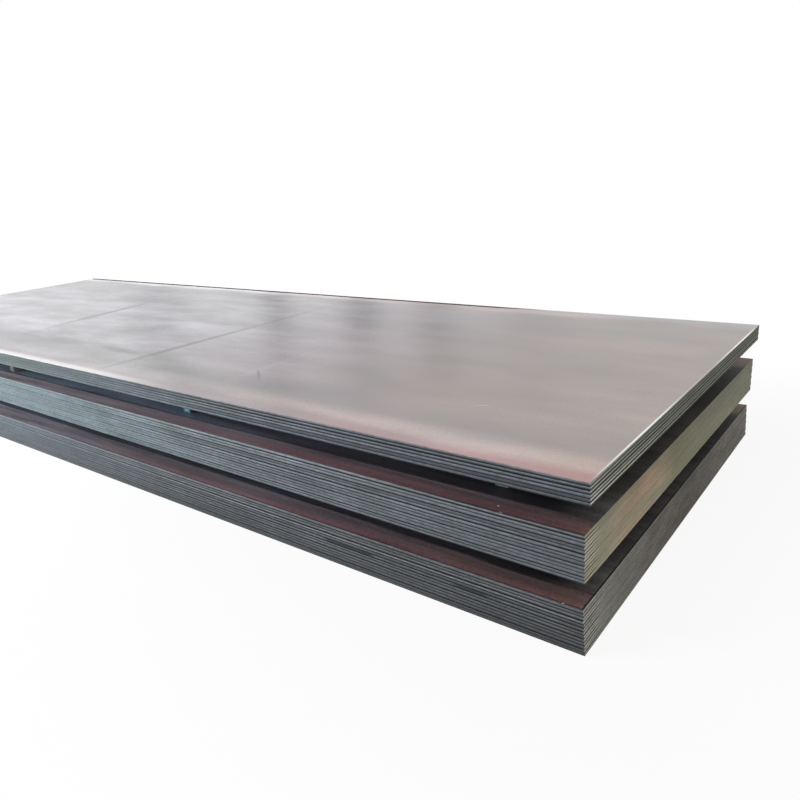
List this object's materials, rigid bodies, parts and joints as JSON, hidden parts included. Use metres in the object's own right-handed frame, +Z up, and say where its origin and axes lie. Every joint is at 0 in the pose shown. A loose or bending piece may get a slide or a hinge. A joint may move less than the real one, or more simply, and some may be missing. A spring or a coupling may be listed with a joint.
{
  "type": "stack of steel plate",
  "caption": "Stack of heavy flat steel plate in packs that rows of timber hold apart, for storing plate flat and lifting it off pack by pack.",
  "frame": {"origin": "centre of the stack's footprint, on the floor that it lies on", "axes": "+X along the plates' length, +Y across their width, +Z up through the stack"},
  "size_m": [6.0238, 2.048, 0.5709],
  "materials": {
    "lower_plate": "hot-rolled mill scale, dull red-brown faces and grey sheared edges",
    "middle_plate": "hot-rolled mill scale, dull red-brown faces and grey-green sheared edges",
    "upper_plate": "hot-rolled mill scale with a semi-gloss grey face",
    "timber": "rough-sawn, weathered softwood"
  },
  "bodies": {
    "root": {"lower_plate_01": "lower_plate", "lower_plate_02": "lower_plate", "lower_plate_03": "lower_plate", "lower_plate_04": "lower_plate", "lower_plate_05": "lower_plate", "lower_plate_06": "lower_plate", "lower_plate_07": "lower_plate", "lower_plate_08": "lower_plate", "lower_plate_09": "lower_plate", "lower_plate_10": "lower_plate", "lower_plate_11": "lower_plate", "lower_plate_12": "lower_plate", "lower_plate_13": "lower_plate", "middle_plate_01": "middle_plate", "middle_plate_02": "middle_plate", "middle_plate_03": "middle_plate", "middle_plate_04": "middle_plate", "middle_plate_05": "middle_plate", "middle_plate_06": "middle_plate", "middle_plate_07": "middle_plate", "middle_plate_08": "middle_plate", "middle_plate_09": "middle_plate", "middle_plate_10": "middle_plate", "middle_plate_11": "middle_plate", "middle_plate_12": "middle_plate", "middle_plate_13": "middle_plate", "upper_plate_01": "upper_plate", "upper_plate_02": "upper_plate", "upper_plate_03": "upper_plate", "upper_plate_04": "upper_plate", "upper_plate_05": "upper_plate", "upper_plate_06": "upper_plate", "lower_timber_1": "timber", "lower_timber_2": "timber", "lower_timber_3": "timber", "lower_timber_4": "timber", "upper_timber_1": "timber", "upper_timber_2": "timber", "upper_timber_3": "timber", "upper_timber_4": "timber"}
  },
  "joints": []
}
